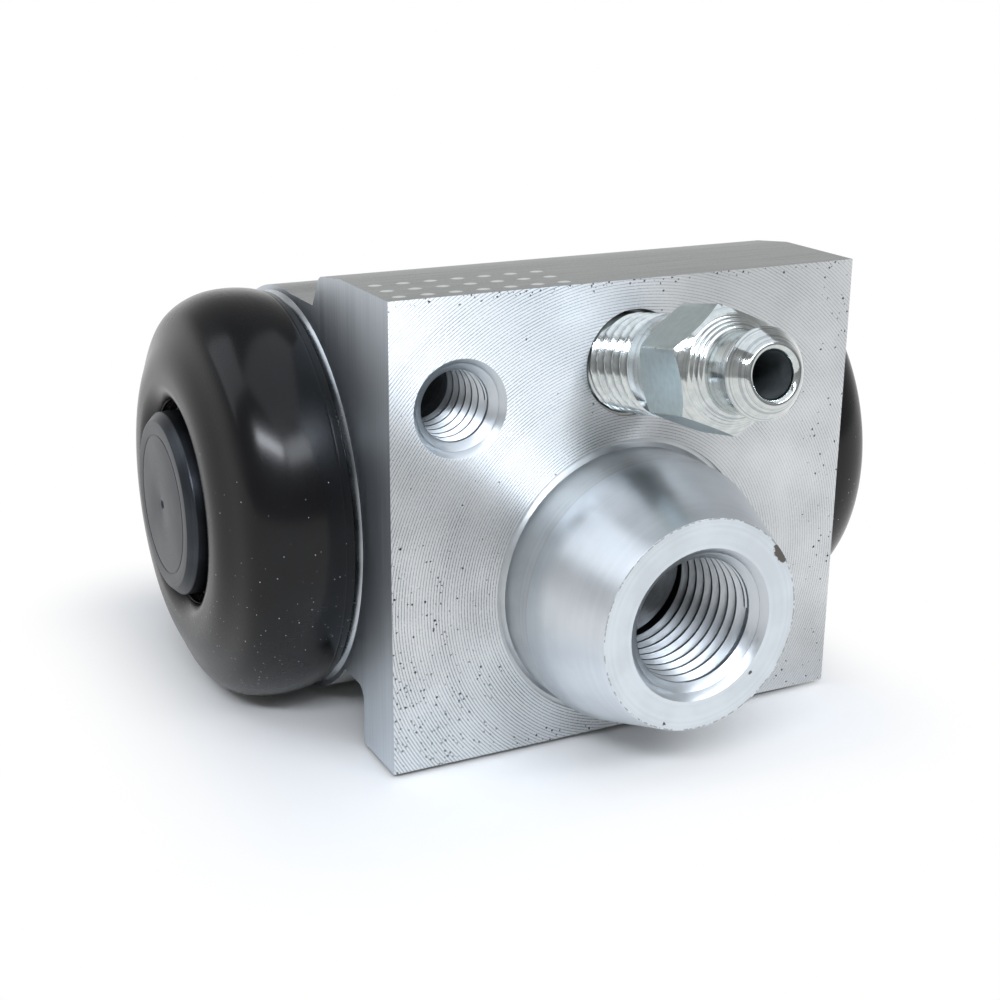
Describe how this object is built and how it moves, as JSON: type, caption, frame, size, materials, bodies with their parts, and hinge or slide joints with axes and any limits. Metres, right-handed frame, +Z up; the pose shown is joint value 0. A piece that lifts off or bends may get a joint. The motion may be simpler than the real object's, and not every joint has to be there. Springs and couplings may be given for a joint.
{
  "type": "wheel cylinder",
  "caption": "Drum-brake wheel cylinder: machined aluminium body with a threaded inlet boss, tilted bleed screw and opposed pistons in rubber boots.",
  "frame": {"origin": "where the inlet port's axis crosses the mounting face", "axes": "+X along the bore, -Y out of the mounting face along the inlet port, +Z up towards the bleed screw"},
  "size_m": [0.056, 0.052, 0.0339],
  "materials": {
    "machined_aluminium": "milled and sawn",
    "boot_rubber": "satin moulded",
    "piston_metal": "dark anodised, turned",
    "seal_rubber": "moulded",
    "pressed_steel": "pressed, zinc plated",
    "spring_steel": "drawn wire",
    "plated_steel": "bright zinc plated"
  },
  "bodies": {
    "housing": {"cylinder_body": "machined_aluminium", "left_boot": "boot_rubber", "right_boot": "boot_rubber", "return_spring": "spring_steel"},
    "left_piston_set": {"left_piston": "piston_metal", "left_cup": "seal_rubber", "left_expander": "pressed_steel"},
    "right_piston_set": {"right_piston": "piston_metal", "right_cup": "seal_rubber", "right_expander": "pressed_steel"},
    "bleeder": {"bleed_screw": "plated_steel"}
  },
  "joints": [
    {"name": "left_piston_slide", "type": "slide", "parent": "housing", "child": "left_piston_set", "axis": [-1, 0, 0], "range_m": [-0.003, 0.007], "deforming": ["left_boot", "return_spring"]},
    {"name": "right_piston_slide", "type": "slide", "parent": "housing", "child": "right_piston_set", "axis": [1, 0, 0], "range_m": [-0.003, 0.007], "deforming": ["right_boot", "return_spring"]},
    {"name": "bleed_screw_turn", "type": "hinge", "parent": "housing", "child": "bleeder", "pos_m": [0, 0, 0.01582], "axis": [0, -0.9848, 0.1736], "range_deg": [0, 360]}
  ]
}
